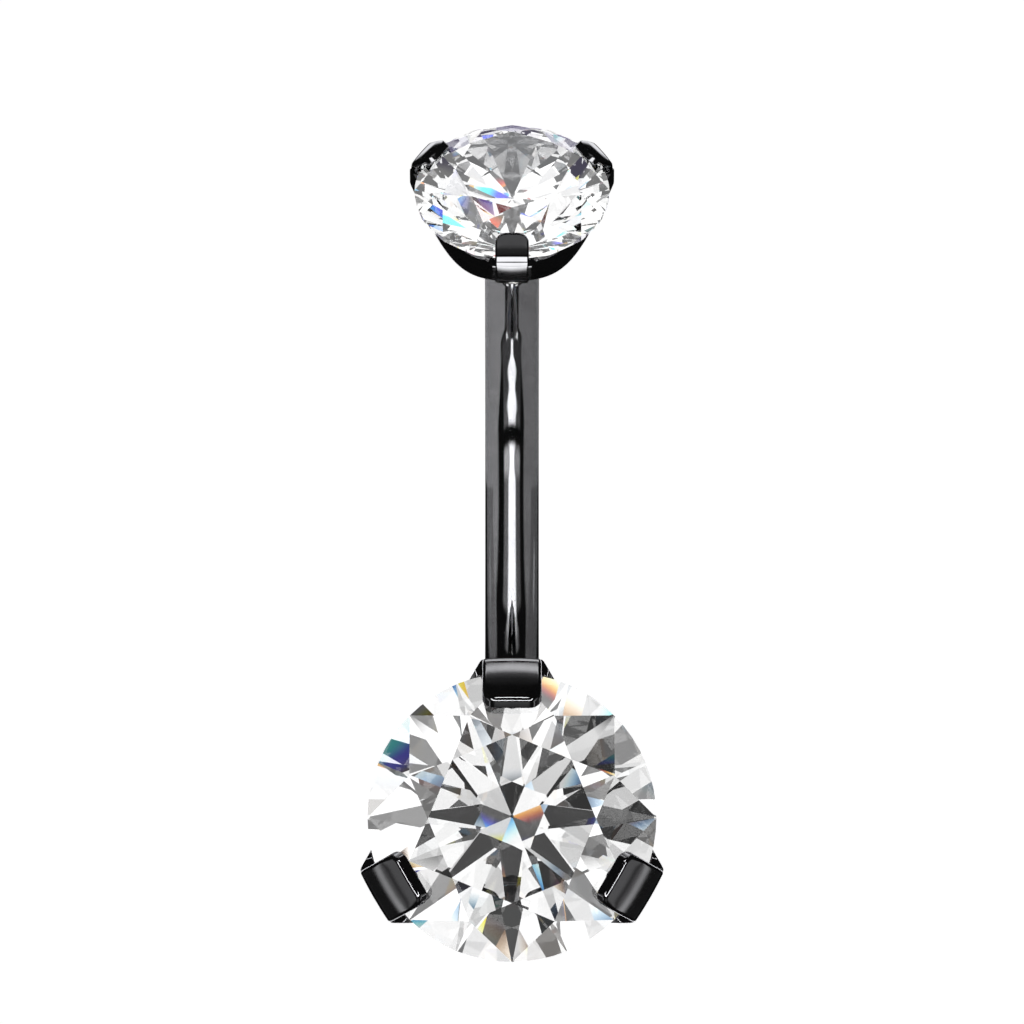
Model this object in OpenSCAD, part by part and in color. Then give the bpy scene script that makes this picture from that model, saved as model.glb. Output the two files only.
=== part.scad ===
// Navel ring: a curved barbell with a large stone fixed below and a small stone that unscrews above.
// It lies on its back. X is across, Y runs from the lower stone to the upper one, Z is up.
// The origin is the centre of the lower setting's back face.

/* [Lower stone] */
// Diameter of the lower stone across its girdle
lower_stone_d = 8; // [7:0.1:9]
// Thickness of the lower stone's girdle at its thickest points
lower_girdle_t = 0.22; // [0.18:0.01:0.3]

/* [Upper stone] */
// Diameter of the upper stone across its girdle
upper_stone_d = 5.35; // [4.8:0.05:6]
// Thickness of the upper stone's girdle at its thickest points
upper_girdle_t = 0.15; // [0.12:0.01:0.22]

/* [Cut of both stones] */
// Slope of the crown's kite facets
crown_angle = 34.5; // [32:0.5:36]
// Slope of the pavilion's main facets
pavilion_angle = 41; // [40:0.5:42]
// Width of the table in percent of the girdle
table_pct = 58; // [54:1:62]
// Reach of the star facets, in percent of the way from the table to the girdle
star_pct = 50; // [45:1:55]
// Reach of the lower halves, in percent of the way from the girdle to the culet
lower_half_pct = 77; // [72:1:80]
// Width of the small flat culet
culet_d = 0.1; // [0.06:0.02:0.2]

/* [Lower setting] */
// Height of the lower girdle above the back face
lower_drop = 3.7; // [3.6:0.05:4.1]
// Distance of the three milled flats from the stone's axis
lower_flat = 2.93; // [2.8:0.01:3.1]
// How far the prongs' outer faces stand out from the girdle
lower_proud = 0.42; // [0.35:0.01:0.5]
// Upright height of the wall under the girdle, above the cone
lower_shoulder = 0.5; // [0.4:0.05:0.8]
// Diameter of the flat back face
lower_hub_d = 3; // [2.6:0.1:3.6]
// Width of each lower prong
lower_prong_w = 1.64; // [1.5:0.02:1.7]
// Thickness of the metal folded over the crown
lower_prong_t = 0.38; // [0.3:0.02:0.45]
// How far each prong reaches in over the crown
lower_reach = 0.95; // [0.8:0.05:1.1]
// Depth of the slanted end of each prong
lower_bevel = 0.3; // [0.2:0.05:0.35]
// Radius of the fold at the girdle
lower_fold_r = 0.5; // [0.35:0.05:0.6]
// Radius of the corners of each prong's tip, seen from above
lower_corner_r = 0.28; // [0.15:0.01:0.35]

/* [Upper setting] */
// Height of the upper girdle above the cup's end face
upper_drop = 2.6; // [2.55:0.05:3]
// Distance of the three milled flats from the stone's axis
upper_flat = 1.96; // [1.85:0.01:2.05]
// How far the prongs' outer faces stand out from the girdle
upper_proud = 0.3; // [0.25:0.01:0.4]
// Upright height of the wall under the girdle, above the cone
upper_shoulder = 0.55; // [0.3:0.05:0.7]
// Diameter of the cup's end face, which meets the bar
upper_hub_d = 1.6; // [1.5:0.05:2]
// Width of each upper prong
upper_prong_w = 0.92; // [0.8:0.02:1]
// Thickness of the metal folded over the crown
upper_prong_t = 0.27; // [0.2:0.01:0.32]
// How far each prong reaches in over the crown
upper_reach = 0.5; // [0.45:0.01:0.85]
// Depth of the slanted end of each prong
upper_bevel = 0.22; // [0.15:0.01:0.25]
// Radius of the fold at the girdle
upper_fold_r = 0.35; // [0.25:0.05:0.45]
// Radius of the corners of each prong's tip, seen from above
upper_corner_r = 0.2; // [0.1:0.01:0.25]

/* [Curved bar] */
// Diameter of the bar
bar_d = 1.5; // [1.2:0.1:1.6]
// Radius of the bend along the bar's middle
bend_r = 7.1; // [6.5:0.1:8]
// Angle by which the bar's upper end rises
bar_lift = 44.3; // [42:0.1:45]
// Straight length between the bend and the upper setting
upper_straight = 1.75; // [1:0.05:4]
// Depth of the bar's lower end below the lower girdle
foot_drop = 0.44; // [0.35:0.01:0.5]
// How far the bar's lower end sinks into the lower setting's wall
foot_bite = 0.68; // [0.6:0.01:0.75]

/* [Threaded post] */
// Outer diameter of the thread
thread_d = 0.9; // [0.8:0.02:0.94]
// Depth of the thread
thread_depth = 0.09; // [0.06:0.01:0.12]
// Pitch of the thread
thread_pitch = 0.225; // [0.2:0.005:0.3]
// Length of the post below the upper setting
post_len = 1.8; // [1.4:0.1:2.2]
// Plain neck between the setting and the thread
post_neck = 0.15; // [0.1:0.05:0.3]
// Depth of the shallow seat that takes the post's head
post_seat = 0.08; // [0.05:0.01:0.1]
// Length of the rounded end
post_nose = 0.22; // [0.15:0.01:0.3]

/* [Bore in the bar] */
// Gap between the thread and the bore all round
bore_gap = 0.02; // [0.01:0.005:0.04]
// Depth of the bore beyond the post's end
bore_extra = 0.4; // [0.2:0.05:0.8]
// Width of the chamfer at the bore's mouth
bore_chamfer = 0.1; // [0.05:0.01:0.15]

/* [Clearances] */
// Gap between each stone and its metal
stone_gap = 0.02; // [0.01:0.005:0.04]
// Gap between the upper setting and the bar's end
seat_gap = 0.02; // [0.01:0.005:0.05]
// Gap round the post's head in its seat
head_gap = 0.01; // [0.005:0.005:0.02]

/* [Hidden] */
$fn = 96;

PRONGS = 3; // prongs on each setting
FACETS = 8; // kite facets on each crown
HALF = 180 / FACETS; // half of the angle that a kite spans
GIRDLE_STEPS = 4; // flats of the girdle along each half facet
ARC_STEPS = 6; // flats along each fold
CORNER_STEPS = 4; // flats round each corner of a prong's tip
THREAD_SIDES = 16; // sides of the threaded post
THREAD_ROWS = 8; // rows of points in each pitch
NOSE_ROWS = 5; // rows of points along the rounded end
SHARE = 1 / 100; // percent to a share
OVER = 0.02; // how far a cut runs past the face that it starts from

lower_r = lower_stone_d / 2;
upper_r = upper_stone_d / 2;
bore_d = thread_d + 2 * bore_gap;
post_head_d = thread_d - 2 * thread_depth;

// Places along the bar, in the plane of the bend, as distance along Y and height
bend_rise = bend_r * (1 - cos(bar_lift));
bend_run = bend_r * sin(bar_lift);
foot_h = lower_drop - foot_drop;
foot_y = lower_r + lower_proud - foot_bite;
foot_lift = acos(1 - (foot_h - bar_d / 2) / bend_r);
bend_y = foot_y + bend_r * sin(foot_lift);
bar_end = [
    0,
    bend_y + bend_run + upper_straight * cos(bar_lift),
    bar_d / 2 + bend_rise + upper_straight * sin(bar_lift)
];
end_axis = [0, cos(bar_lift), sin(bar_lift)];
upper_centre = bar_end + (upper_drop + seat_gap) * end_axis;

// A point on a circle about the stone's axis, at a height
function at(r, turn, h) = [r * cos(turn), r * sin(turn), h];

// Heights and radii of a stone's corners, from its girdle's middle
function table_r(r) = r * table_pct * SHARE;
function crown_h(r, dist) = (r - dist) * tan(crown_angle);
function star_r(r) = let (inner = table_r(r) * cos(HALF)) inner + star_pct * SHARE * (r - inner);
function star_h(r) = crown_h(r, star_r(r) * cos(HALF));
function half_r(r) = r * (1 - lower_half_pct * SHARE);
function half_h(r) = (r - half_r(r) * cos(HALF)) * tan(pavilion_angle);
function pavilion_h(r) = r * tan(pavilion_angle);

// The round space that a stone of this radius turns in, with its gap, as radius and height
function stone_space(r, girdle_t) =
    let (g = girdle_t / 2, up = stone_gap / cos(crown_angle), down = stone_gap / cos(pavilion_angle))
    [
        [0, -g - pavilion_h(r) - down],
        [half_r(r), -g - half_h(r) - down],
        [r + stone_gap, -g],
        [r + stone_gap, g],
        [star_r(r), g + star_h(r) + up],
        [table_r(r), g + crown_h(r, table_r(r)) + up],
        [0, g + crown_h(r, table_r(r)) + up]
    ];

// Where a vertical line at this radius and turn meets the plane through three points
function on_facet(p, q, s, r, turn) =
    let (n = cross(q - p, s - p), v = at(r, turn, 0) - p)
    at(r, turn, p[2] - (n[0] * v[0] + n[1] * v[1]) / n[2]);

// Angle from the nearest kite's tip
function from_tip(turn) = let (span = 2 * HALF) abs(turn - span * round(turn / span));

// A round brilliant: table, stars, kites and halves above, halves, mains and culet below
module brilliant(d, girdle_t) {
    r = d / 2;
    g = girdle_t / 2;
    top = g + crown_h(r, table_r(r));
    columns = 2 * FACETS * GIRDLE_STEPS;
    span = 2 * GIRDLE_STEPS;
    culet_r = culet_d / 2;
    culet_h = -g - (r - culet_r * cos(HALF)) * tan(pavilion_angle);
    upper = [at(r, 0, g), at(r, HALF, g), at(star_r(r), HALF, g + star_h(r))];
    lower = [at(r, 0, -g), at(r, HALF, -g), at(half_r(r), HALF, -g - half_h(r))];
    ring = [for (k = [0 : FACETS - 1]) k];
    points = concat(
        [for (k = ring) at(table_r(r), 2 * HALF * k, top)],
        [for (k = ring) at(star_r(r), 2 * HALF * k + HALF, g + star_h(r))],
        [for (k = ring) at(half_r(r), 2 * HALF * k + HALF, -g - half_h(r))],
        [for (k = ring) at(culet_r, 2 * HALF * k + HALF, culet_h)],
        [
            for (facet = [upper, lower], j = [0 : columns - 1])
                let (turn = j * 360 / columns, z = on_facet(facet[0], facet[1], facet[2], r, from_tip(turn))[2])
                at(r, turn, z)
        ]
    );
    function table_at(k) = k % FACETS;
    function star_at(k) = FACETS + (k + FACETS) % FACETS;
    function half_at(k) = 2 * FACETS + (k + FACETS) % FACETS;
    function culet_at(k) = 3 * FACETS + (k + FACETS) % FACETS;
    function above(j) = 4 * FACETS + j % columns;
    function below(j) = 4 * FACETS + columns + j % columns;
    kites = [for (k = ring) [table_at(k), star_at(k), above(k * span), star_at(k - 1)]];
    stars = [for (k = ring) [table_at(k), table_at(k + 1), star_at(k)]];
    upper_halves = [
        for (k = ring, side = [0, 1])
            let (last = k * span + (side + 1) * GIRDLE_STEPS)
            [star_at(k), for (i = [0 : GIRDLE_STEPS]) above(last - i)]
    ];
    lower_halves = [
        for (k = ring, side = [0, 1])
            let (first = k * span + side * GIRDLE_STEPS)
            [half_at(k), for (i = [0 : GIRDLE_STEPS]) below(first + i)]
    ];
    mains = [for (k = ring) [below(k * span), half_at(k), culet_at(k), culet_at(k - 1), half_at(k - 1)]];
    girdle = [for (j = [0 : columns - 1]) [above(j), above(j + 1), below(j + 1), below(j)]];
    table = [[for (k = ring) table_at(FACETS - 1 - k)]];
    culet = [[for (k = ring) culet_at(k)]];
    polyhedron(points, concat(kites, stars, upper_halves, lower_halves, mains, girdle, table, culet));
}

// A turned cup with three milled flats, which leave the roots of the prongs
module cup(r, drop, flat, proud, shoulder, hub_d) {
    face = r + proud;
    corner = (2 * flat - face) * tan(30);
    slope = (drop - shoulder) / (face - hub_d / 2);
    blank_r = norm([face, corner]) + OVER;
    intersection() {
        rotate_extrude()
            polygon([
                [0, -drop],
                [hub_d / 2, -drop],
                [blank_r, -shoulder + (blank_r - face) * slope],
                [blank_r, 0],
                [0, 0]
            ]);
        translate([0, 0, -drop - OVER])
            linear_extrude(drop + 2 * OVER)
                polygon([
                    for (k = [0 : PRONGS - 1], side = [-1, 1])
                        let (turn = 90 + k * 360 / PRONGS)
                        [
                            face * cos(turn) - side * corner * sin(turn),
                            face * sin(turn) + side * corner * cos(turn)
                        ]
                ]);
    }
}

// One prong, pointing along +X: a strap that stands up the wall and folds over the crown
module prong(r, girdle_t, proud, shoulder, w, t, reach, bevel, fold_r, corner_r) {
    face = r + proud;
    fold_x = face - fold_r;
    // Height of the strap's sloping top over a point at this radius
    function top_h(x) = girdle_t / 2 + crown_h(r, x) + t / cos(crown_angle);
    fold_h = top_h(fold_x) - fold_r / cos(crown_angle);
    tip = r - reach;
    root = shoulder / 2; // how far the strap runs down inside the wall
    intersection() {
        rotate([90, 0, 0])
            linear_extrude(w, center = true)
                polygon(concat(
                    [[tip, -root], [face, -root]],
                    [
                        for (i = [0 : ARC_STEPS])
                            let (turn = i * (90 - crown_angle) / ARC_STEPS)
                            [fold_x + fold_r * cos(turn), fold_h + fold_r * sin(turn)]
                    ],
                    [[tip + bevel, top_h(tip + bevel)], [tip, top_h(tip + bevel) - bevel]]
                ));
        translate([0, 0, -root - OVER])
            linear_extrude(root + r)
                polygon(concat(
                    [
                        for (side = [1, -1], i = [0 : CORNER_STEPS])
                            let (turn = side > 0 ? 90 + i * 90 / CORNER_STEPS : 180 + i * 90 / CORNER_STEPS)
                            [
                                tip + corner_r + corner_r * cos(turn),
                                side * (w / 2 - corner_r) + corner_r * sin(turn)
                            ]
                    ],
                    [[face + OVER, -w / 2], [face + OVER, w / 2]]
                ));
    }
}

module lower_cup_and_prongs() {
    cup(lower_r, lower_drop, lower_flat, lower_proud, lower_shoulder, lower_hub_d);
    for (k = [0 : PRONGS - 1])
        rotate([0, 0, 90 + k * 360 / PRONGS])
            prong(
                lower_r, lower_girdle_t, lower_proud, lower_shoulder, lower_prong_w,
                lower_prong_t, lower_reach, lower_bevel, lower_fold_r, lower_corner_r
            );
}

module upper_cup_and_prongs() {
    cup(upper_r, upper_drop, upper_flat, upper_proud, upper_shoulder, upper_hub_d);
    for (k = [0 : PRONGS - 1])
        rotate([0, 0, 90 + k * 360 / PRONGS])
            prong(
                upper_r, upper_girdle_t, upper_proud, upper_shoulder, upper_prong_w,
                upper_prong_t, upper_reach, upper_bevel, upper_fold_r, upper_corner_r
            );
}

// Puts what is drawn about the upper stone's girdle at the upper end, leaning with the bar
module at_upper_stone() {
    translate(upper_centre)
        rotate([bar_lift - 90, 0, 0])
            rotate([0, 0, 180])
                children();
}

// The bar's bend and its straight upper end, before the bore is drilled
module bent_rod() {
    translate([0, bend_y, bar_d / 2 + bend_r])
        rotate([180 + bar_lift, 0, 0])
            rotate([0, -90, 0]) {
                rotate_extrude(angle = bar_lift + foot_lift)
                    translate([bend_r, 0])
                        circle(d = bar_d);
                translate([bend_r, 0, 0])
                    rotate([90, 0, 0])
                        cylinder(d = bar_d, h = upper_straight);
            }
}

// Bar and lower setting, soldered into one piece of metal
module curved_bar() {
    color([0.16, 0.16, 0.17])
        difference() {
            union() {
                bent_rod();
                translate([0, 0, lower_drop])
                    lower_cup_and_prongs();
            }
            translate([0, 0, lower_drop])
                rotate_extrude()
                    polygon(stone_space(lower_r, lower_girdle_t));
            translate(bar_end)
                rotate([bar_lift + 90, 0, 0])
                    rotate_extrude()
                        polygon([
                            [0, -OVER],
                            [bore_d / 2 + bore_chamfer + OVER, -OVER],
                            [bore_d / 2, bore_chamfer],
                            [bore_d / 2, post_len + bore_extra],
                            [0, post_len + bore_extra]
                        ]);
        }
}

module lower_stone() {
    color([0.93, 0.95, 0.97, 0.5])
        translate([0, 0, lower_drop])
            brilliant(lower_stone_d, lower_girdle_t);
}

// The small cup that unscrews, with a shallow seat for the post's head
module upper_setting() {
    color([0.16, 0.16, 0.17])
        at_upper_stone()
            difference() {
                upper_cup_and_prongs();
                rotate_extrude()
                    polygon(stone_space(upper_r, upper_girdle_t));
                translate([0, 0, -upper_drop - OVER])
                    cylinder(d = post_head_d + 2 * head_gap, h = post_seat + OVER);
            }
}

// Distance of the thread's surface from the post's axis, at a height below the cup and a turn
function thread_r(h, turn) =
    let (
        root = thread_d / 2 - thread_depth,
        phase = h / thread_pitch + turn / 360,
        wave = 1 - abs(2 * (phase - floor(phase)) - 1),
        runout = min(1, max(0, (h - post_neck) / thread_pitch)),
        nose = max(0, (h - post_len + post_nose) / post_nose),
        limit = thread_d / 2 * sqrt(max(0, 1 - pow(nose, 2) * 0.8))
    )
    min(limit, root + thread_depth * wave * runout);

// The post under the cup, in one piece with its thread
module threaded_post() {
    head = post_seat - head_gap;
    body = post_len - post_nose;
    step = thread_pitch / THREAD_ROWS;
    heights = concat(
        [-head],
        [for (h = [0 : step : body]) h],
        [for (i = [1 : NOSE_ROWS]) body + post_nose * sin(90 * i / NOSE_ROWS)]
    );
    rows = len(heights);
    points = [
        for (h = heights, i = [0 : THREAD_SIDES - 1])
            let (turn = i * 360 / THREAD_SIDES)
            at(thread_r(h, turn), turn, -h)
    ];
    sides = [
        for (row = [0 : rows - 2], i = [0 : THREAD_SIDES - 1])
            let (
                a = row * THREAD_SIDES + i,
                b = row * THREAD_SIDES + (i + 1) % THREAD_SIDES
            )
            each [[a, b, b + THREAD_SIDES], [a, b + THREAD_SIDES, a + THREAD_SIDES]]
    ];
    head_face = [for (i = [THREAD_SIDES - 1 : -1 : 0]) i];
    end_face = [for (i = [0 : THREAD_SIDES - 1]) (rows - 1) * THREAD_SIDES + i];
    color([0.82, 0.83, 0.85])
        at_upper_stone()
            translate([0, 0, -upper_drop])
                polyhedron(points, concat(sides, [head_face, end_face]));
}

module upper_stone() {
    color([0.93, 0.95, 0.97, 0.5])
        at_upper_stone()
            brilliant(upper_stone_d, upper_girdle_t);
}

curved_bar();
lower_stone();
upper_setting();
threaded_post();
upper_stone();
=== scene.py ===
import math
import bmesh
import bpy
from mathutils import Matrix, Vector


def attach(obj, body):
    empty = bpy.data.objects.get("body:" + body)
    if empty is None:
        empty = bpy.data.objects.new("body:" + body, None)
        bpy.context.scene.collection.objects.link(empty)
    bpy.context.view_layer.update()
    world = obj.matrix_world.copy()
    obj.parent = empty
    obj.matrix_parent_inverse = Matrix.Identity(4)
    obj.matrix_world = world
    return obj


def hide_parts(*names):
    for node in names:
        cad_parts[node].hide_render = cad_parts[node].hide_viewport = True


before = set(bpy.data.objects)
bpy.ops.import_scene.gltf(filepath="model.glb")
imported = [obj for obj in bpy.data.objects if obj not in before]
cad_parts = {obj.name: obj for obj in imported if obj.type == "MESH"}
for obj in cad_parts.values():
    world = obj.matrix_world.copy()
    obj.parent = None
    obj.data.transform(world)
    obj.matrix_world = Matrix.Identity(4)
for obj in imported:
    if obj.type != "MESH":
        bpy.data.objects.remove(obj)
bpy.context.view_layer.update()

scene = bpy.context.scene
mm = 0.001

# Where the ring stands in the shared frame, in millimetres, as in the part's own source
bend = {"radius": 7.1, "lift": 44.3, "footHeight": 3.26, "footY": 3.7, "straight": 1.75, "barRadius": 0.75}
footLift = math.degrees(math.acos(1 - (bend["footHeight"] - bend["barRadius"]) / bend["radius"]))
bendY = bend["footY"] + bend["radius"] * math.sin(math.radians(footLift))
bendZ = bend["barRadius"] + bend["radius"]
axisY, axisZ = math.cos(math.radians(bend["lift"])), math.sin(math.radians(bend["lift"]))
barEnd = Vector((
    0,
    bendY + bend["radius"] * axisZ + bend["straight"] * axisY,
    bendZ - bend["radius"] * axisY + bend["straight"] * axisZ,
))
upperDrop, lowerDrop, seatGap = 2.6, 3.7, 0.02         # from each stone's girdle to its cup's foot
upperCentre = barEnd + (upperDrop + seatGap) * Vector((0, axisY, axisZ))

atLowerStone = Matrix.Scale(mm, 4) @ Matrix.Translation((0, 0, lowerDrop))
atUpperStone = (
    Matrix.Scale(mm, 4)
    @ Matrix.Translation(upperCentre)
    @ Matrix.Rotation(math.radians(bend["lift"] - 90), 4, "X")
    @ Matrix.Rotation(math.pi, 4, "Z")
)


# Shader and geometry maths

class Num:
    # A socket that takes part in ordinary sums

    def __init__(self, sheet, socket):
        self.sheet = sheet
        self.socket = socket

    def sum(self, operation, first, second=0.0):
        return self.sheet.num("ShaderNodeMath", {"operation": operation}, {0: first, 1: second})

    def __add__(self, other): return self.sum("ADD", self, other)
    def __radd__(self, other): return self.sum("ADD", other, self)
    def __sub__(self, other): return self.sum("SUBTRACT", self, other)
    def __rsub__(self, other): return self.sum("SUBTRACT", other, self)
    def __mul__(self, other): return self.sum("MULTIPLY", self, other)
    def __rmul__(self, other): return self.sum("MULTIPLY", other, self)
    def __truediv__(self, other): return self.sum("DIVIDE", self, other)
    def __rtruediv__(self, other): return self.sum("DIVIDE", other, self)
    def __neg__(self): return self.sum("MULTIPLY", self, -1.0)
    def __abs__(self): return self.sum("ABSOLUTE", self)
    def min(self, other): return self.sum("MINIMUM", self, other)
    def max(self, other): return self.sum("MAXIMUM", self, other)
    def sin(self): return self.sum("SINE", self)
    def cos(self): return self.sum("COSINE", self)
    def root(self): return self.sum("SQRT", self)
    def pingPong(self, half): return self.sum("PINGPONG", self, half)
    def arctan2(self, other): return self.sum("ARCTAN2", self, other)

    def ramp(self, low, high):
        # 0 below low, 1 above high, smooth between
        return self.sheet.num(
            "ShaderNodeMapRange",
            {"interpolation_type": "SMOOTHSTEP"},
            {"Value": self, "From Min": low, "From Max": high, "To Min": 0.0, "To Max": 1.0},
        )


class Sheet:
    # A node tree that nodes are added to one call at a time

    def __init__(self, tree):
        self.tree = tree

    def node(self, kind, settings=None, sockets=None):
        made = self.tree.nodes.new(kind)
        for name, value in (settings or {}).items():
            setattr(made, name, value)
        for key, value in (sockets or {}).items():
            if isinstance(value, Num):
                self.tree.links.new(value.socket, made.inputs[key])
            elif isinstance(value, bpy.types.NodeSocket):
                self.tree.links.new(value, made.inputs[key])
            else:
                made.inputs[key].default_value = value
        return made

    def num(self, kind, settings=None, sockets=None, out=0):
        return Num(self, self.node(kind, settings, sockets).outputs[out])

    def mix(self, share, first, second):
        # Colours by a share from 0 to 1
        return self.node("ShaderNodeMix", {"data_type": "RGBA"}, {0: share, 6: first, 7: second}).outputs[2]

    def join(self, x, y, z):
        return self.node("ShaderNodeCombineXYZ", {}, {0: x, 1: y, 2: z}).outputs[0]

    def output(self, surface):
        self.node("ShaderNodeOutputMaterial", {}, {"Surface": surface.outputs[0]})

    def split(self, vector):
        made = self.node("ShaderNodeSeparateXYZ", {}, {0: vector})
        return [Num(self, made.outputs[i]) for i in range(3)]


def newFinish(name):
    material = bpy.data.materials.new(name)
    material.use_nodes = True
    material.node_tree.nodes.clear()
    return material, Sheet(material.node_tree)


def newModifierTree(name, sizes):
    # A Geometry Nodes tree with a named input for each size
    tree = bpy.data.node_groups.new(name, "GeometryNodeTree")
    tree.interface.new_socket("Geometry", in_out="INPUT", socket_type="NodeSocketGeometry")
    kinds = {int: "NodeSocketInt", float: "NodeSocketFloat", bpy.types.Object: "NodeSocketObject",
             bpy.types.Material: "NodeSocketMaterial"}
    for label, value in sizes.items():
        tree.interface.new_socket(label, in_out="INPUT", socket_type=kinds[type(value)])
    tree.interface.new_socket("Geometry", in_out="OUTPUT", socket_type="NodeSocketGeometry")
    sheet = Sheet(tree)
    entry = tree.nodes.new("NodeGroupInput")
    return tree, sheet, {label: Num(sheet, entry.outputs[label]) for label in ["Geometry", *sizes]}


def grow(name, build, sizes):
    # Runs a Geometry Nodes tree on an empty mesh and keeps the result as a plain mesh
    tree, sheet, inputs = newModifierTree(name + "Tree", sizes)
    result = build(sheet, inputs)
    sheet.node("NodeGroupOutput", {}, {0: result})
    seed = bpy.data.objects.new(name + "Seed", bpy.data.meshes.new(name + "Seed"))
    scene.collection.objects.link(seed)
    modifier = seed.modifiers.new(name, "NODES")
    modifier.node_group = tree
    for item in tree.interface.items_tree:
        if item.in_out == "INPUT" and item.name in sizes:
            modifier[item.identifier] = sizes[item.name]
    seed.update_tag()
    depsgraph = bpy.context.evaluated_depsgraph_get()
    mesh = bpy.data.meshes.new_from_object(seed.evaluated_get(depsgraph))
    bpy.data.objects.remove(seed)
    return mesh


def addRing(bm, points):
    return [bm.verts.new(p) for p in points]


def skin(bm, first, second, closed=True):
    count = len(first)
    for i in range(count if closed else count - 1):
        j = (i + 1) % count
        bm.faces.new((first[i], first[j], second[j], second[i]))


def tidyMesh(bm, gap=1e-4):
    bmesh.ops.remove_doubles(bm, verts=bm.verts, dist=gap)
    bmesh.ops.dissolve_degenerate(bm, dist=gap, edges=bm.edges)
    bmesh.ops.recalc_face_normals(bm, faces=bm.faces)


def meshFrom(bm, name):
    mesh = bpy.data.meshes.new(name)
    bm.to_mesh(mesh)
    bm.free()
    return mesh


def finishPiece(name, bm, body, material, replaced):
    mesh = meshFrom(bm, name)
    mesh.materials.clear()
    mesh.materials.append(material)
    for polygon in mesh.polygons:
        polygon.use_smooth = True
    piece = bpy.data.objects.new(name, mesh)
    scene.collection.objects.link(piece)
    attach(piece, body)
    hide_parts(replaced)
    return piece


# Finishes

blackCoatLook = {
    "colour": (0.19, 0.19, 0.197), "darker": 0.86, "edgeTint": (0.6, 0.6, 0.61, 1), "cloudEdge": (0.35, 0.7),
    "roughness": 0.05, "roughnessSpread": 0.04, "cloudShare": 0.6, "hairShare": 0.4, "middle": 0.35,
    "cloudScale": 900.0, "hairScale": 9000.0, "hairStretch": (1.0, 0.12, 1.0), "waveScale": 700.0, "waviness": 0.0012,
}
bareMetalLook = {
    "dull": (0.72, 0.71, 0.69, 1), "bright": (0.8, 0.79, 0.77, 1), "cloudScale": 4000.0,
    "roughness": 0.16, "roughnessSpread": 0.12,
}
stoneIndex = 2.16


def noise(sheet, place, scale, detail, roughness):
    return sheet.num("ShaderNodeTexNoise", {}, {
        "Vector": place, "Scale": scale, "Detail": detail, "Roughness": roughness,
    })


def makeBlackCoat():
    look = blackCoatLook
    material, sheet = newFinish("blackCoat")
    place = sheet.node("ShaderNodeTexCoord").outputs["Object"]
    stretched = sheet.node("ShaderNodeMapping", {}, {"Vector": place, "Scale": look["hairStretch"]}).outputs[0]
    cloud = noise(sheet, place, look["cloudScale"], 3.0, 0.55)
    hairs = noise(sheet, stretched, look["hairScale"], 2.0, 0.6)
    wave = noise(sheet, place, look["waveScale"], 1.0, 0.4)
    relief = sheet.node("ShaderNodeBump", {}, {"Strength": 1.0, "Distance": look["waviness"] * mm, "Height": wave})
    uneven = cloud * look["cloudShare"] + hairs * look["hairShare"] - look["middle"]
    darker = [look["darker"] * c for c in look["colour"]]
    sheet.output(sheet.node("ShaderNodeBsdfPrincipled", {}, {
        "Base Color": sheet.mix(cloud.ramp(*look["cloudEdge"]), (*look["colour"], 1), (*darker, 1)),
        "Metallic": 1.0,
        "Specular Tint": look["edgeTint"],
        "Roughness": look["roughness"] + look["roughnessSpread"] * uneven,
        "Normal": relief.outputs[0],
    }))
    return material


def makeBareMetal():
    look = bareMetalLook
    material, sheet = newFinish("bareTitanium")
    cloud = noise(sheet, sheet.node("ShaderNodeTexCoord").outputs["Object"], look["cloudScale"], 3.0, 0.6)
    sheet.output(sheet.node("ShaderNodeBsdfPrincipled", {}, {
        "Base Color": sheet.mix(cloud, look["dull"], look["bright"]),
        "Metallic": 1.0,
        "Roughness": look["roughness"] + look["roughnessSpread"] * cloud,
    }))
    return material


def makeStoneFinish():
    material, sheet = newFinish("clearStone")
    sheet.output(sheet.node("ShaderNodeBsdfPrincipled", {}, {
        "Base Color": (1, 1, 1, 1), "Roughness": 0.0, "IOR": stoneIndex, "Transmission Weight": 1.0,
    }))
    return material


blackCoat = makeBlackCoat()
bareMetal = makeBareMetal()
clearStone = makeStoneFinish()
print("finishes ready")


# Settings: a turned cup with three flats, and three straps folded over the crown

lowerCup = {
    "stoneRadius": 4.0, "girdle": 0.22, "drop": lowerDrop, "flat": 2.93, "face": 4.42, "shoulder": 0.5,
    "hubRadius": 1.5, "step": 0.045, "rim": 0.07, "edge": 0.03,
    "strapWidth": 1.64, "strapThick": 0.38, "reach": 0.95, "bevel": 0.26, "foldRadius": 0.28, "cornerRadius": 0.34,
    "strapFoot": 0.45, "lift": 0.15, "endDrop": 0.11, "endRound": 0.22, "sideRound": 0.1, "pillow": 0.025,
    "topSlope": 30.0, "bow": 0.045, "bowRadius": 5.6,
}
upperCup = {
    "stoneRadius": 2.675, "girdle": 0.15, "drop": upperDrop, "flat": 1.96, "face": 2.975, "shoulder": 0.55,
    "hubRadius": 0.8, "step": 0.035, "rim": 0.05, "edge": 0.022,
    "strapWidth": 0.92, "strapThick": 0.27, "reach": 0.5, "bevel": 0.16, "foldRadius": 0.42, "cornerRadius": 0.28,
    "strapFoot": 0.3, "lift": 0.1, "endDrop": 0.09, "endRound": 0.08, "sideRound": 0.055, "pillow": 0.015,
    "topSlope": 34.5, "bow": 0.02, "bowRadius": 1.8,
}
crownAngle, pavilionAngle, halfKite = [math.radians(turn) for turn in (34.5, 41, 22.5)]
crownSlope, pavilionSlope = math.tan(crownAngle), math.tan(pavilionAngle)
lowFacets = 0.23                                    # the share of the stone's radius where its lowest facets end
stoneGap = 0.02

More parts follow.
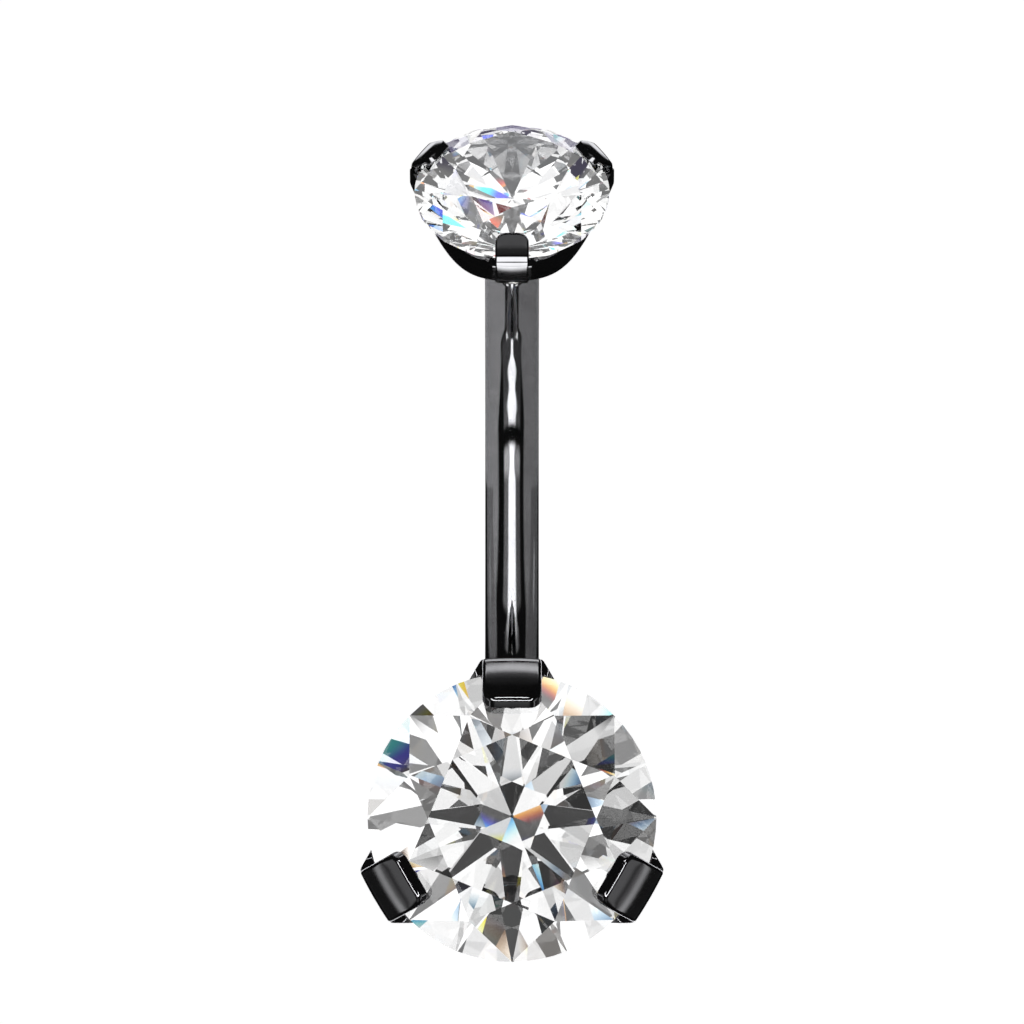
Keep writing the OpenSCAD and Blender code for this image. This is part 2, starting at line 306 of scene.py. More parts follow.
# Where the cup's surface is divided: in degrees beside each corner, in shares between corners and up the cone,
# and in millimetres beside the crease under the flats
cupGrid = {
    "besideCorner": (-2.4, -1.6, -1.0, -0.5, 0, 0.5, 1.0, 1.6, 2.4), "acrossFace": (-0.6, -0.3, 0, 0.3, 0.6),
    "flatMargin": 3.4, "flatParts": 32, "upCone": (0.02, 0.15, 0.35, 0.55, 0.75, 0.9, 1),
    "besideCrease": (-0.08, -0.05, -0.025, 0, 0.025, 0.05, 0.08, 0.12), "wallRows": 17, "lastRow": 0.015,
}
# The hub's rounded foot, how near the foot a crease may come, and how the rim falls away beside the stone
cupShape = {"footRound": 0.12, "footEdge": 0.03, "footRise": 0.008, "leastCrease": 0.12, "rimFall": 0.08}


def bowl(cup):
    # Radius and height of the space under the stone, from its point up to the girdle
    r, g = cup["stoneRadius"], cup["girdle"] / 2
    down = stoneGap / math.cos(pavilionAngle)
    inner = r * lowFacets
    return [
        (0.0, -g - r * pavilionSlope - down),
        (inner, -g - (r - inner * math.cos(halfKite)) * pavilionSlope - down),
        (r + stoneGap, -g),
    ]


def softMin(values, k):
    # The least of the values, with a rounded corner of about k
    low = min(values)
    return low - k * math.log(sum(math.exp(-(v - low) / k) for v in values))


def cupMesh(cup):
    face = cup["face"] - cup["step"]
    slope = (face - cup["hubRadius"]) / (cup["drop"] - cup["shoulder"])
    cornerTurn = math.degrees(math.atan2((2 * cup["flat"] - face) * math.tan(math.radians(30)), face))
    point, low, high = bowl(cup)
    inSlope = (high[0] - low[0]) / (high[1] - low[1])

    turns = []
    for k in range(3):
        middle = 90 + 120 * k
        for step in cupGrid["besideCorner"]:
            turns += [middle - cornerTurn + step, middle + cornerTurn - step]
        turns += [middle + cornerTurn * share for share in cupGrid["acrossFace"]]
        start = cornerTurn + cupGrid["flatMargin"]
        parts = cupGrid["flatParts"]
        turns += [middle + start + (120 - 2 * start) * part / parts for part in range(parts + 1)]
    turns = sorted(set(round(turn % 360, 4) for turn in turns))

    def wall(turn):
        # Distances of the flats and strap faces from the axis at this turn
        near = []
        for k in range(3):
            toFace = math.cos(math.radians(turn - 90 - 120 * k))
            toFlat = math.cos(math.radians(turn - 30 - 120 * k))
            if toFace > 0.2:
                near.append(face / toFace)
            if toFlat > 0.2:
                near.append(cup["flat"] / toFlat)
        return near

    bm = bmesh.new()
    columns = []
    foot, hub, e = -cup["drop"], cup["hubRadius"], cup["edge"]
    for turn in turns:
        near = wall(turn)
        sharp = min(near)
        crease = min((sharp - hub) / slope + foot, cupShape["leastCrease"] * foot)
        edgeR = sharp - cup["rim"]
        if edgeR < high[0]:
            top = high[1] + (edgeR - high[0]) / inSlope
        else:
            top = high[1] * (1 - min(1, (edgeR - high[0]) / cupShape["rimFall"]))
        last = top - e

        def outer(h):
            return softMin([hub + (h - foot) * slope, *near], e)

        coneTop = crease - max(cupGrid["besideCrease"])
        heights = [foot + (coneTop - foot) * share for share in cupGrid["upCone"]]
        heights += [crease + step for step in cupGrid["besideCrease"]]
        heights = [h for h in heights if h < last - 2 * cupGrid["lastRow"]] + [last - cupGrid["lastRow"], last]
        while len(heights) < cupGrid["wallRows"]:
            heights.insert(-2, (heights[-3] + heights[-2]) / 2)
        rows = [
            (0.0, foot), (hub - cupShape["footRound"], foot),
            (hub - cupShape["footEdge"], foot + cupShape["footRise"]),
        ]
        rows += [(outer(h), h) for h in heights]
        rimR, insideR = outer(last), min(edgeR, high[0])
        seat = min(top - 0.4 * e, high[1])
        seatR = high[0] + (seat - high[1]) * inSlope
        rows += [
            (rimR - 0.1 * e, top - 0.55 * e), (rimR - 0.35 * e, top - 0.2 * e), (rimR - 0.8 * e, top), (rimR - e, top),
            (insideR + 0.5 * e, top), (insideR + 0.3 * e, top), (insideR, top - 0.3 * e),
            (seatR, seat), ((seatR + low[0]) / 2, (seat + low[1]) / 2), low, point,
        ]
        a = math.radians(turn)
        columns.append([(r * math.cos(a), r * math.sin(a), h) for r, h in rows])
    rings = [addRing(bm, column) for column in columns]
    for k in range(len(rings)):
        skin(bm, rings[k], rings[(k + 1) % len(rings)], closed=False)
    tidyMesh(bm)
    return bm


def roundedPath(corners, steps=14, longestStep=0.3):
    # Points and outward normals along a line whose corners are rounded by their own radii
    places = [Vector(c[:2]) for c in corners]
    path = []
    for i, corner in enumerate(corners):
        here = places[i]
        radius = corner[2]
        if i in (0, len(corners) - 1):
            along = (places[i + 1] - here) if i == 0 else (here - places[i - 1])
            along.normalize()
            path.append((here, Vector((along.y, -along.x))))
            continue
        before = (here - places[i - 1]).normalized()
        after = (places[i + 1] - here).normalized()
        bendAngle = before.angle_signed(after)
        back = radius * math.tan(abs(bendAngle) / 2)
        start = here - before * back
        side = 1 if before.x * after.y - before.y * after.x > 0 else -1
        inward = Vector((-before.y, before.x)) * side
        centre = start + inward * radius
        for s in range(steps + 1):
            spin = Matrix.Rotation(side * abs(bendAngle) * s / steps, 2)
            arm = spin @ (-inward)
            path.append((centre + arm * radius, arm * side))
    # Long straight runs get points between, so that the strap's crown is even
    full = []
    for (p, n), (q, m) in zip(path, path[1:]):
        full.append((p, n))
        pieces = int((q - p).length / longestStep)
        for s in range(1, pieces + 1):
            full.append((p.lerp(q, s / (pieces + 1)), n.lerp(m, s / (pieces + 1)).normalized()))
    full.append(path[-1])
    return full


# What both cups' straps share: the corners' radii, how the ends sink and taper, and the points across the top
strapShape = {
    "footSink": 0.3, "footRise": 0.02, "footRadius": 0.07, "shoulderRadius": 0.25, "tipRadius": 0.03, "tipBack": 0.01,
    "tipFace": 0.07, "wallShare": 0.85, "leastThick": 0.05, "footTaper": 0.12, "taperHeight": 0.3, "tipBend": 1.3,
    "crownStart": 0.02, "sidePull": 0.02, "underPull": 0.01, "sideSteps": 5,
    "across": (-1, -0.96, -0.9, -0.82, -0.72, -0.6, -0.4, 0, 0.4, 0.6, 0.72, 0.82, 0.9, 0.96, 1),
}


def strapMesh(cup):
    # One strap, pointing along +X, from the hub up the wall and over the crown
    shape = strapShape
    r, g, face = cup["stoneRadius"], cup["girdle"] / 2, cup["face"]
    thick = cup["strapThick"]
    cupFace = face - cup["step"]
    slope = (cupFace - cup["hubRadius"]) / (cup["drop"] - cup["shoulder"])
    coneNormal = Vector((1, -slope)).normalized()
    topNormal = Vector((math.sin(crownAngle), math.cos(crownAngle)))
    topSlope = math.tan(math.radians(cup["topSlope"]))
    tip = r - cup["reach"]
    crest = tip + cup["bevel"]

    def topHeight(x):
        return g + (r - crest) * crownSlope + thick / math.cos(crownAngle) + (crest - x) * topSlope

    def coneAt(h):
        # On the cone, raised by the step
        return cup["hubRadius"] + (h + cup["drop"]) * slope + cup["step"] / coneNormal.x

    footH = -cup["drop"] + cup["strapFoot"]
    shoulderH = (face - cup["step"] / coneNormal.x - cup["hubRadius"]) / slope - cup["drop"]
    middle = (face + crest) / 2
    endH = topHeight(crest) - cup["endDrop"]
    corners = [
        (coneAt(footH) - shape["footSink"], footH + shape["footRise"], 0),
        (coneAt(footH), footH, shape["footRadius"]),
        (face, shoulderH, shape["shoulderRadius"]),
        (face, topHeight(face), cup["foldRadius"]),
        (middle, topHeight(middle) + cup["bow"], cup["bowRadius"]),
        (crest, topHeight(crest), cup["endRound"]),
        (tip, endH, shape["tipRadius"]),
        (tip + shape["tipBack"], endH - shape["tipFace"], 0),
    ]
    under = Vector((r, g + cup["lift"]))
    corner = cup["cornerRadius"]
    half = cup["strapWidth"] / 2
    bm = bmesh.new()
    rings = []
    for place, normal in roundedPath(corners):
        if place.x < face - shape["crownStart"] and place.y > 0:
            deep = max(shape["leastThick"], (place - under).dot(topNormal))
            down = -topNormal
        else:
            deep = thick * shape["wallShare"]
            down = -normal
        bent = 1 - min(1, max(0, place.x - crest) / (shape["tipBend"] * corner)) if place.y > 0 else 0
        wide = half
        if place.y < footH + shape["taperHeight"]:
            wide -= shape["footTaper"] * (1 - (place.y - footH) / shape["taperHeight"]) ** 2
        rho = min(cup["sideRound"], 0.45 * deep)
        steps = shape["sideSteps"]
        ring = [(x * (wide - rho), -cup["pillow"] * x * x) for x in shape["across"]]
        for s in range(1, steps + 1):
            a = math.radians(90 * (1 - s / steps))
            ring.append((wide - rho + rho * math.cos(a), -cup["pillow"] - rho + rho * math.sin(a)))
        low, side = -deep + shape["underPull"], wide - shape["sidePull"]
        ring += [(wide, low), (side, -deep), (0, -deep), (-side, -deep), (-wide, low)]
        for s in range(steps):
            a = math.radians(180 - 90 * s / steps)
            ring.append((-wide + rho + rho * math.cos(a), -cup["pillow"] - rho + rho * math.sin(a)))
        back = Vector((math.cos(crownAngle), -math.sin(crownAngle))) * bent
        points = []
        for across, depth in ring:
            over = max(0, abs(across) - half + corner)
            spot = place - down * depth + back * (corner - math.sqrt(max(0, corner ** 2 - over ** 2)))
            points.append((spot.x, across, spot.y))
        rings.append(addRing(bm, points))
    for first, second in zip(rings, rings[1:]):
        skin(bm, first, second)
    bm.faces.new(rings[0])
    bm.faces.new(rings[-1])
    bmesh.ops.recalc_face_normals(bm, faces=bm.faces)
    return bm


def strapTree(sheet, inputs):
    # The strap is repeated round the stone's axis
    shape = sheet.node("GeometryNodeObjectInfo", {}, {"Object": inputs["Strap"]}).outputs["Geometry"]
    points = sheet.node("GeometryNodeMeshLine", {}, {"Count": inputs["Count"], "Offset": (0, 0, 0)}).outputs[0]
    index = sheet.num("GeometryNodeInputIndex")
    turn = inputs["First turn"] + index * (2 * math.pi / inputs["Count"])
    rotation = sheet.node("FunctionNodeEulerToRotation", {}, {0: sheet.join(0.0, 0.0, turn)}).outputs[0]
    copies = sheet.node("GeometryNodeInstanceOnPoints", {}, {"Points": points, "Instance": shape, "Rotation": rotation})
    whole = sheet.node("GeometryNodeRealizeInstances", {}, {0: copies.outputs[0]}).outputs[0]
    return sheet.node("GeometryNodeSetMaterial", {}, {"Geometry": whole, "Material": inputs["Finish"]}).outputs[0]


def settingMesh(cup, name):
    strap = bpy.data.objects.new(name + "Strap", meshFrom(strapMesh(cup), name + "Strap"))
    scene.collection.objects.link(strap)
    bm = cupMesh(cup)
    bm.from_mesh(grow(name + "Straps", strapTree, {
        "Strap": strap, "Count": 3, "First turn": math.radians(90), "Finish": blackCoat,
    }))
    bpy.data.objects.remove(strap)
    return bm


# Curved bar

boreSizes = {"radius": 0.47, "chamfer": 0.1, "depth": 2.2, "point": 0.25, "rimRound": 0.06, "edge": 0.01, "hold": 0.03}
barSizes = {
    "Bar radius": bend["barRadius"], "Bend radius": bend["radius"], "Lift": math.radians(bend["lift"]),
    "Foot lift": math.radians(footLift), "Straight": bend["straight"] - boreSizes["rimRound"], "Bend Y": bendY,
    "Rings": 120, "Sides": 64, "Finish": blackCoat,
}
barWeld = 0.004


def barTree(sheet, inputs):
    # A tube along the bend and its straight end
    bendR, lift, foot = inputs["Bend radius"], inputs["Lift"], inputs["Foot lift"]
    arc = bendR * (lift + foot)
    length = arc + inputs["Straight"]
    line = sheet.node("GeometryNodeMeshLine", {}, {"Count": inputs["Rings"], "Offset": (0, 0, 1)}).outputs[0]
    share = sheet.num("GeometryNodeInputIndex") / (inputs["Rings"] - 1)
    along = share * length
    angle = (along / bendR).min(lift + foot) - foot
    rest = (along - arc).max(0)
    y = inputs["Bend Y"] + bendR * angle.sin() + rest * lift.cos()
    z = inputs["Bar radius"] + bendR * (1 - angle.cos()) + rest * lift.sin()
    place = sheet.join(0.0, y, z)
    moved = sheet.node("GeometryNodeSetPosition", {}, {"Geometry": line, "Position": place}).outputs[0]
    curve = sheet.node("GeometryNodeMeshToCurve", {}, {0: moved}).outputs[0]
    profile = sheet.node(
        "GeometryNodeCurvePrimitiveCircle", {}, {"Resolution": inputs["Sides"], "Radius": inputs["Bar radius"]}
    ).outputs[0]
    tube = sheet.node("GeometryNodeCurveToMesh", {}, {"Curve": curve, "Profile Curve": profile}).outputs[0]
    return sheet.node("GeometryNodeSetMaterial", {}, {"Geometry": tube, "Material": inputs["Finish"]}).outputs[0]


def barMouth():
    # The rim and the bore, turned about the bar's own axis
    radius, bore, chamfer, depth = bend["barRadius"], boreSizes["radius"], boreSizes["chamfer"], boreSizes["depth"]
    e, edge, hold = boreSizes["rimRound"], boreSizes["edge"], boreSizes["hold"]
    rows = [(radius, -e)]
    rows += [(radius - e + e * math.cos(a), -e + e * math.sin(a)) for a in (math.radians(18 * s) for s in range(1, 6))]
    rows += [
        (bore + chamfer + edge, 0), (bore + chamfer, -edge), (bore, -chamfer), (bore, -chamfer - hold),
        (bore, -depth + hold), (bore, -depth), (0, -depth - boreSizes["point"]),
    ]
    turnTo = Matrix.Translation(barEnd) @ Matrix.Rotation(math.radians(bend["lift"] - 90), 4, "X")
    bm = bmesh.new()
    turns = [2 * math.pi * k / barSizes["Sides"] for k in range(barSizes["Sides"])]
    rings = [addRing(bm, [turnTo @ Vector((r * math.cos(a), r * math.sin(a), h)) for a in turns]) for r, h in rows]
    for first, second in zip(rings, rings[1:]):
        skin(bm, first, second)
    return bm


def buildBar():
    bm = barMouth()
    bm.from_mesh(grow("bar", barTree, barSizes))
    bmesh.ops.remove_doubles(bm, verts=bm.verts, dist=barWeld)
    holes = [e for e in bm.edges if len(e.link_faces) == 1]
    bmesh.ops.contextual_create(bm, geom=holes)
    bmesh.ops.recalc_face_normals(bm, faces=bm.faces)
    bm.transform(Matrix.Scale(mm, 4))
    return finishPiece("bar", bm, "barbell", blackCoat, "curved_bar")


def buildSetting(name, cup, place, body, replaced):
    whole = settingMesh(cup, name)
    whole.transform(place)
    return finishPiece(name + "Setting", whole, body, blackCoat, replaced)


# Threaded post

postSizes = {
    "Thread radius": 0.45, "Thread depth": 0.09, "Pitch": 0.225, "Length": 1.8, "Neck": 0.15, "Head": 0.07,
    "Nose": 0.22, "Rows": 240, "Sides": 48, "Finish": bareMetal,
}
threadFlank = (0.12, 0.88)                          # shares of half a pitch between which the flank rises
postWeld, headEdge = 0.0005, 0.004


def postTree(sheet, inputs):
    # A grid rolled into a cylinder, whose radius follows the thread
    grid = sheet.node("GeometryNodeMeshGrid", {}, {
        "Size X": 1.0, "Size Y": 1.0, "Vertices X": inputs["Rows"], "Vertices Y": inputs["Sides"],
    }).outputs[0]
    x, y, z = sheet.split(sheet.node("GeometryNodeInputPosition").outputs[0])
    height = (x + 0.5) * (inputs["Length"] + inputs["Head"]) - inputs["Head"]
    turns = y + 0.5
    phase = height / inputs["Pitch"] + turns
    wave = (phase * 2).pingPong(1.0).ramp(*threadFlank)
    runOut = ((height - inputs["Neck"]) / inputs["Pitch"]).max(0).min(1)
    crest = inputs["Thread radius"] - inputs["Thread depth"]
    nose = ((height - inputs["Length"] + inputs["Nose"]) / inputs["Nose"]).max(0).min(1)
    limit = inputs["Thread radius"] * (1 - nose * nose).max(0).root()
    radius = (crest + inputs["Thread depth"] * wave * runOut).min(limit)
    head = ((height + inputs["Head"]) / headEdge).min(1)
    angle = turns * 2 * math.pi
    place = sheet.join(radius * head * angle.cos(), radius * head * angle.sin(), -height)
    rolled = sheet.node("GeometryNodeSetPosition", {}, {"Geometry": grid, "Position": place}).outputs[0]
    closed = sheet.node("GeometryNodeMergeByDistance", {}, {"Geometry": rolled, "Distance": postWeld}).outputs[0]
    whole = sheet.node("GeometryNodeRealizeInstances", {}, {0: closed}).outputs[0]
    return sheet.node("GeometryNodeSetMaterial", {}, {"Geometry": whole, "Material": inputs["Finish"]}).outputs[0]


def buildPost():
    bm = bmesh.new()
    bm.from_mesh(grow("post", postTree, postSizes))
    tidyMesh(bm)
    bm.transform(atUpperStone @ Matrix.Translation((0, 0, -upperDrop)))
    return finishPiece("threadedPin", bm, "top", bareMetal, "threaded_post")


bar = buildBar()
settings = [
    buildSetting("lower", lowerCup, atLowerStone, "barbell", "curved_bar"),
    buildSetting("upper", upperCup, atUpperStone, "top", "upper_setting"),
]
print("bar and settings built")
pin = buildPost()
bar.visible_glossy = False                          # the straps mirror the studio, not the bar beside them
print("top built")

stones = []
for nodeName in ("lower_stone", "upper_stone"):
    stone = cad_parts[nodeName]
    stone.data.materials.clear()
    stone.data.materials.append(clearStone)
    stones.append(stone)


# Floor, camera and light

view = {
    "middle": Vector((0, 8.46, 3.7)) * mm, "away": 250 * mm, "width": 28.36 * mm, "sensor": 36.0, "clip": (0.001, 10),
}
studio = {"floorHalf": 1.5, "paint": (0.9, 0.9, 0.9, 1), "light": (1, 1, 1, 1), "dim": 0.02, "white": 1.0}
tentRadius = {"bar": 1.2, "lower": 1.1, "upper": 1.0}


def makeCamera():
    camera = bpy.data.cameras.new("camera")
    camera.sensor_width = view["sensor"]
    camera.lens = view["sensor"] * view["away"] / view["width"]
    camera.clip_start, camera.clip_end = view["clip"]
    holder = bpy.data.objects.new("camera", camera)
    holder.location = view["middle"] + Vector((0, 0, view["away"]))
    scene.collection.objects.link(holder)
    scene.camera = holder


def makeFloor():
    material, sheet = newFinish("paleFloor")
    shader = sheet.node("ShaderNodeBsdfPrincipled", {}, {
        "Base Color": studio["paint"], "Roughness": 0.7,
        "Emission Color": studio["light"], "Emission Strength": studio["white"],
    })
    sheet.output(shader)
    bm = bmesh.new()
    bmesh.ops.create_grid(bm, x_segments=4, y_segments=4, size=studio["floorHalf"])
    floor = bpy.data.objects.new("floor", meshFrom(bm, "floor"))
    floor.data.materials.append(material)
    scene.collection.objects.link(floor)
    floor.visible_glossy = False                # the metal mirrors the studio below it, not the floor


def makeWorld():
    # White to the camera and nearly black to the ring
    world = bpy.data.worlds.new("studio")
    world.use_nodes = True
    world.node_tree.nodes.clear()
    scene.world = world
    sheet = Sheet(world.node_tree)
    seen = sheet.node("ShaderNodeLightPath").outputs["Is Camera Ray"]
    around, behind = [
        sheet.node("ShaderNodeBackground", {}, {"Color": studio["light"], "Strength": studio[name]}).outputs[0]
        for name in ("dim", "white")
    ]
    both = sheet.node("ShaderNodeMixShader", {}, {0: seen, 1: around, 2: behind})
    sheet.node("ShaderNodeOutputWorld", {}, {"Surface": both.outputs[0]})


def makeTent(name, receivers, pattern, radius):
    # A shell of light round the ring that only some pieces see. No two shells have the same radius.
    material, sheet = newFinish(name)
    normal = sheet.node("ShaderNodeVectorMath", {"operation": "NORMALIZE"}, {
        0: sheet.node("ShaderNodeTexCoord").outputs["Object"]}).outputs[0]
    light = sheet.node("ShaderNodeEmission", {}, {"Color": pattern(sheet, *sheet.split(normal)), "Strength": 1.0})
    clear = sheet.node("ShaderNodeBsdfTransparent")
    both = sheet.node("ShaderNodeAddShader", {}, {0: light.outputs[0], 1: clear.outputs[0]})
    sheet.output(both)
    material.cycles.emission_sampling = "NONE"
    bm = bmesh.new()
    bmesh.ops.create_uvsphere(bm, u_segments=96, v_segments=48, radius=radius)
    tent = bpy.data.objects.new(name, meshFrom(bm, name))
    tent.data.materials.append(material)
    tent.location = view["middle"]
    scene.collection.objects.link(tent)
    tent.visible_camera = tent.visible_diffuse = tent.visible_shadow = False
    seen = bpy.data.collections.new(name + "Sees")
    for piece in receivers:
        seen.objects.link(piece)
    tent.light_linking.receiver_collection = seen


def bump(value, middle, inner, outer):
    # 1 near the middle, 0 beyond the outer distance
    return 1 - abs(value - middle).ramp(inner, outer)


def profile(value, stops):
    # Smooth steps from stop to stop, each of them a place and a brightness
    total = stops[0][1]
    for (here, first), (there, second) in zip(stops, stops[1:]):
        if second != first:
            total = total + (second - first) * value.ramp(here, there)
    return total


# Places along the bar are turns from overhead in radians, negative towards the lower stone
barLight = {
    "whiteEdge": [(-1.62, 0.2), (-1.56, 0.62), (-1.45, 0.62), (-0.7, 0.87), (1.4, 0.87), (2.1, 0.67)],
    "whiteFade": [(1.4, 1.0), (1.9, 0.55)], "edgeSoft": 0.05, "rightNearer": 0.09, "middleSoft": 0.15,
    "leftWhite": 1.0, "rightWhite": 0.62,
    "leftGlint": 0.6, "rightGlint": 1.2, "glintY": 0.22, "glintZ": -0.42, "glintSize": (0.04, 0.12),
    "streak": [(-1.6, 0.0), (-1.54, 5.2), (1.1, 5.2), (1.25, 2.6), (1.5, 0.65), (1.56, 0.65), (1.64, 0.0)],
    "streakHalf": [(-1.35, 0.06), (-0.95, 0.26), (1.15, 0.26), (1.5, 0.35)], "streakSoft": (0.7, 1.25),
    "wave": 0.06, "waveCount": 17.3, "waveStart": -1.106, "waveAt": (-0.93, 0.2, 0.4),
    "wedge": [(1.15, 0.01), (1.55, 0.25)], "wedgeStart": (1.15, 1.2), "wedgeSoft": 0.75,
    "gap": (-0.48, 0.05, 0.14), "pastGap": (-0.24, 0.04, 0.2), "pastGapThins": 0.1, "pastGapLights": 2.5,
    "leftShoulder": 0.62, "rightShoulder": 0.34, "shoulderHalf": (0.495, 0.605),
    "shoulder": [(-1.62, 0.0), (-1.4, 0.35), (-1.0, 0.35), (-0.5, 1.0), (1.08, 1.0), (1.22, 0.0)],
    "spots": 4.0, "spotAlong": (-1.48, 0.02, 0.06), "spotAcross": (0.25, 0.04, 0.09),
}


def barPattern(sheet, x, y, z):
    # White on both sides, and a long narrow light overhead with one dark gap
    look = barLight
    along = y.arctan2(z)
    across = abs(x)
    toRight = x.ramp(-look["middleSoft"], look["middleSoft"])

    def sided(name):
        return look["left" + name] + (look["right" + name] - look["left" + name]) * toRight

    edge = profile(along, look["whiteEdge"]) - look["rightNearer"] * toRight
    glint = bump(y, look["glintY"], *look["glintSize"]) * bump(z, look["glintZ"], *look["glintSize"]) * sided("Glint")
    sides = across.ramp(edge - look["edgeSoft"], edge + look["edgeSoft"]) * (sided("White") + glint)
    sides = sides * profile(along, look["whiteFade"])
    gap = 1 - bump(along, *look["gap"])
    pastGap = bump(along, *look["pastGap"])
    waves = ((along - look["waveStart"]) * look["waveCount"]).cos() * bump(along, *look["waveAt"])
    half = profile(along, look["streakHalf"]) - look["pastGapThins"] * pastGap + look["wave"] * waves
    inner, outer = look["streakSoft"]
    wedge = profile(along, look["wedge"])
    split = along.ramp(*look["wedgeStart"]) * (1 - across.ramp(wedge * look["wedgeSoft"], wedge))
    streak = (1 - across.ramp(half * inner, half * outer)) * (1 - split) * profile(along, look["streak"])
    shoulder = bump(across, 0, *look["shoulderHalf"]) * sided("Shoulder")
    shoulder = shoulder * (profile(along, look["shoulder"]) + look["pastGapLights"] * pastGap)
    spots = bump(along, *look["spotAlong"]) * bump(across, *look["spotAcross"]) * look["spots"]
    return sides + (streak + shoulder) * gap + spots


def strapLobe(x, y):
    # 1 in the straps' three directions, -1 midway between them
    s = y / (x * x + y * y).root().max(0.01)
    return 4 * s * s * s - 3 * s


# Each list has heights on the shell, from -1 below to 1 overhead, and the brightness there
lowerLight = {
    "front": [(-0.3, 0.0), (0.0, 0.05), (0.385, 0.02), (0.445, 1.15), (0.503, 0.28), (0.532, 0.12), (0.575, 0.38),
              (0.632, 0.36), (0.66, 0.2), (0.75, 0.0)],
    "rear": [(-1.0, 0.0), (-0.9, 0.4), (-0.55, 2.3), (-0.22, 2.3), (0.07, 1.0), (0.33, 0.2), (0.358, 0.2),
             (0.409, 2.2), (0.414, 2.2), (0.475, 0.19), (0.52, 0.05), (0.6, 0.0)],
    "sides": [(-0.98, 0.0), (-0.9, 4.0), (-0.66, 4.0), (-0.58, 0.0)],
    "end": [(0.6, 0.0), (0.7, 0.2), (0.8, 0.2), (0.86, 0.0)],
    "line": (0.93, 0.012, 0.03), "lineGlow": 8.0, "overStraps": (0.4, 0.75), "betweenStraps": (-0.5, 0.0),
    "toRear": (-0.1, 0.1), "lineRear": (0.0, 0.05), "lineAcross": (0.1, 0.15),
    "endFront": (-0.4, -0.1), "endAcross": (0.1, 0.3),
}


def lowerPattern(sheet, x, y, z):
    # Bands over the folds and top faces, white round the straps' sides, and thin lines overhead for the tips
    look = lowerLight
    lobe = strapLobe(x, y)
    across = abs(x)
    front, rear = profile(z, look["front"]), profile(z, look["rear"])
    bands = lobe.ramp(*look["overStraps"]) * (front + (rear - front) * y.ramp(*look["toRear"]))
    sides = profile(z, look["sides"]) * (1 - lobe.ramp(*look["betweenStraps"]))
    lines = bump(z, *look["line"]) * look["lineGlow"]
    lines = lines * (1 - y.ramp(*look["lineRear"]) * across.ramp(*look["lineAcross"]))
    end = profile(z, look["end"]) * (1 - y.ramp(*look["endFront"])) * (1 - across.ramp(*look["endAcross"]))
    return bands + sides + lines + end


# The front and the top go by turns from overhead, as on the bar
upperLight = {
    "behind": 4.0, "behindHeight": (-0.78, -0.72), "behindRear": (0.35, 0.5), "behindAcross": (0.1, 0.2),
    "middle": (0.3, 0.42), "front": [(-1.51, 0.0), (-1.48, 5.0), (-0.06, 5.0), (0.06, 0.0)],
    "darkBar": (-0.7, 0.04, 0.12), "greyBar": (-1.3, 0.02, 0.07), "greyBarShade": 0.4,
    "top": [(0.2, 0.0), (0.3, 0.04), (0.36, 0.08), (0.46, 0.22), (0.54, 0.34)], "topHeight": (0.3, 0.5),
}


def upperPattern(sheet, x, y, z):
    # White far behind for the rear straps' outer edges, and a light over the front fold with two dark bars
    look = upperLight
    along = y.arctan2(z)
    across = abs(x)
    behind = (1 - z.ramp(*look["behindHeight"])) * y.ramp(*look["behindRear"]) * across.ramp(*look["behindAcross"])
    bars = (1 - bump(along, *look["darkBar"])) * (1 - look["greyBarShade"] * bump(along, *look["greyBar"]))
    front = profile(along, look["front"]) * bars
    top = profile(along, look["top"]) * z.ramp(*look["topHeight"])
    return behind * look["behind"] + (1 - across.ramp(*look["middle"])) * (front + top)


def greyLight(pattern):
    # The same brightness in all three colours
    def coloured(sheet, x, y, z):
        glow = pattern(sheet, x, y, z)
        return sheet.join(glow, glow, glow)
    return coloured


stoneLooks = {
    "lower_stone": {
        "radius": 0.05, "scale": 6.0, "shift": (21.4, 9.6), "split": 0.009, "white": 0.465, "grey": 0.05,
        "soft": 0.48, "lens": -0.2, "below": 5.0, "shade": (0.2, 0.18, 0.22),
    },
    "upper_stone": {
        "radius": 0.06, "scale": 9.0, "shift": (12.9, 4.3), "split": 0.013, "white": 0.37, "grey": 0.05,
        "soft": 0.3, "lens": 0.15, "below": 4.0, "shade": (0.36, 0.33, 0.5),
    },
}
# What both stones' rooms share: brightnesses, and how far each edge reaches
stoneRoom = {
    "depth": 1.5, "dark": 0.015, "greyCard": 0.09, "white": 1.22, "whiteBelow": 1.1, "lensShade": 0.95,
    "horizon": (-0.3, -0.1), "lensSize": (0.01, 0.016), "greySoft": 0.02, "whiteSoft": 0.012,
    "softScale": 0.6, "softEdge": (0.3, 0.5), "belowEdge": (0.38, 0.45),
}


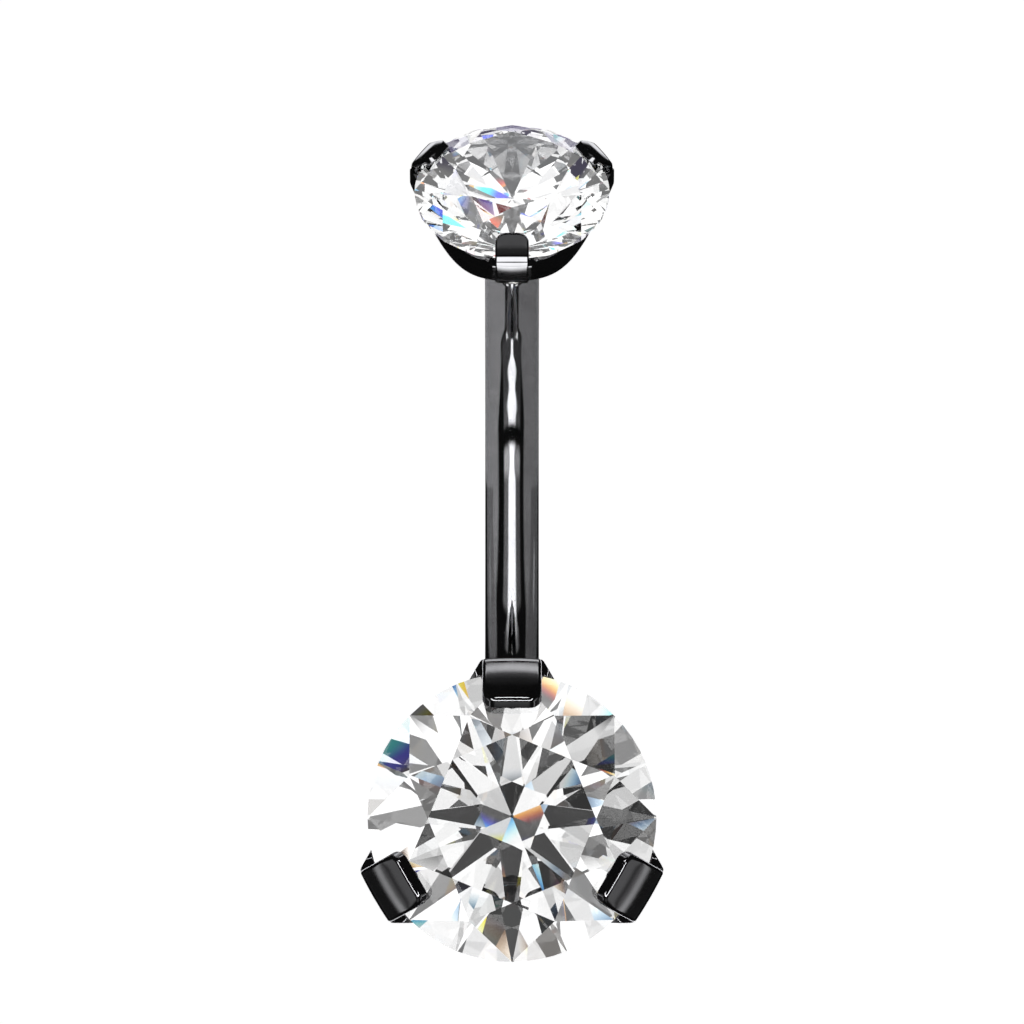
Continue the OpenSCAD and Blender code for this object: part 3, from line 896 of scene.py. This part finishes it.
def stonePattern(look):
    # A white room hung with soft grey and dark cards, whose edges split a little into colours
    room = stoneRoom

    def pattern(sheet, x, y, z):
        def spotAt(stretch):
            return sheet.join(*[
                value / (room["depth"] + z) * stretch + shift for value, shift in zip((x, y), look["shift"])
            ], 0.0)

        def cloud(spot, scale, detail):
            return sheet.num("ShaderNodeTexNoise", {"noise_dimensions": "2D"}, {
                "Vector": spot, "Scale": look["scale"] * scale, "Detail": detail, "Roughness": 0.5,
            })

        # The dark lens that looks down on the stone
        toLens = y - look["lens"]
        lens = 1 - (x * x + toLens * toLens).ramp(*room["lensSize"])
        above = z.ramp(*room["horizon"])
        small = cloud(spotAt(1), look["below"], 1.0).ramp(*room["belowEdge"])
        channels = []
        for stretch, shadeBelow in zip((1 - look["split"], 1, 1 + look["split"]), look["shade"]):
            spot = spotAt(stretch)
            cards = cloud(spot, 1, 1.5)
            bright = room["white"] - look["soft"] * (1 - cloud(spot, room["softScale"], 0.0).ramp(*room["softEdge"]))
            greyEdge = look["white"] - look["grey"]
            tone = room["dark"] + room["greyCard"] * cards.ramp(greyEdge - room["greySoft"], greyEdge)
            whiteness = cards.ramp(look["white"] - room["whiteSoft"], look["white"] + room["whiteSoft"])
            tone = tone + (bright - room["dark"] - room["greyCard"]) * whiteness
            tone = tone * (1 - room["lensShade"] * lens)
            under = shadeBelow + (room["whiteBelow"] - shadeBelow) * small
            channels.append(under + (tone - under) * above)
        return sheet.join(*channels)
    return pattern


makeCamera()
makeFloor()
makeWorld()
makeTent("barTent", [bar], greyLight(barPattern), tentRadius["bar"])
makeTent("lowerTent", [settings[0]], greyLight(lowerPattern), tentRadius["lower"])
makeTent("upperTent", [settings[1], pin], greyLight(upperPattern), tentRadius["upper"])
for stone, look in zip(stones, stoneLooks.values()):
    makeTent(stone.name + "Tent", [stone], stonePattern(look), look["radius"])
scene.view_settings.view_transform = "Standard"
scene.cycles.max_bounces = 32
scene.cycles.transmission_bounces = 28
scene.cycles.glossy_bounces = 8
scene.cycles.transparent_max_bounces = 16
print("floor, camera and light ready")
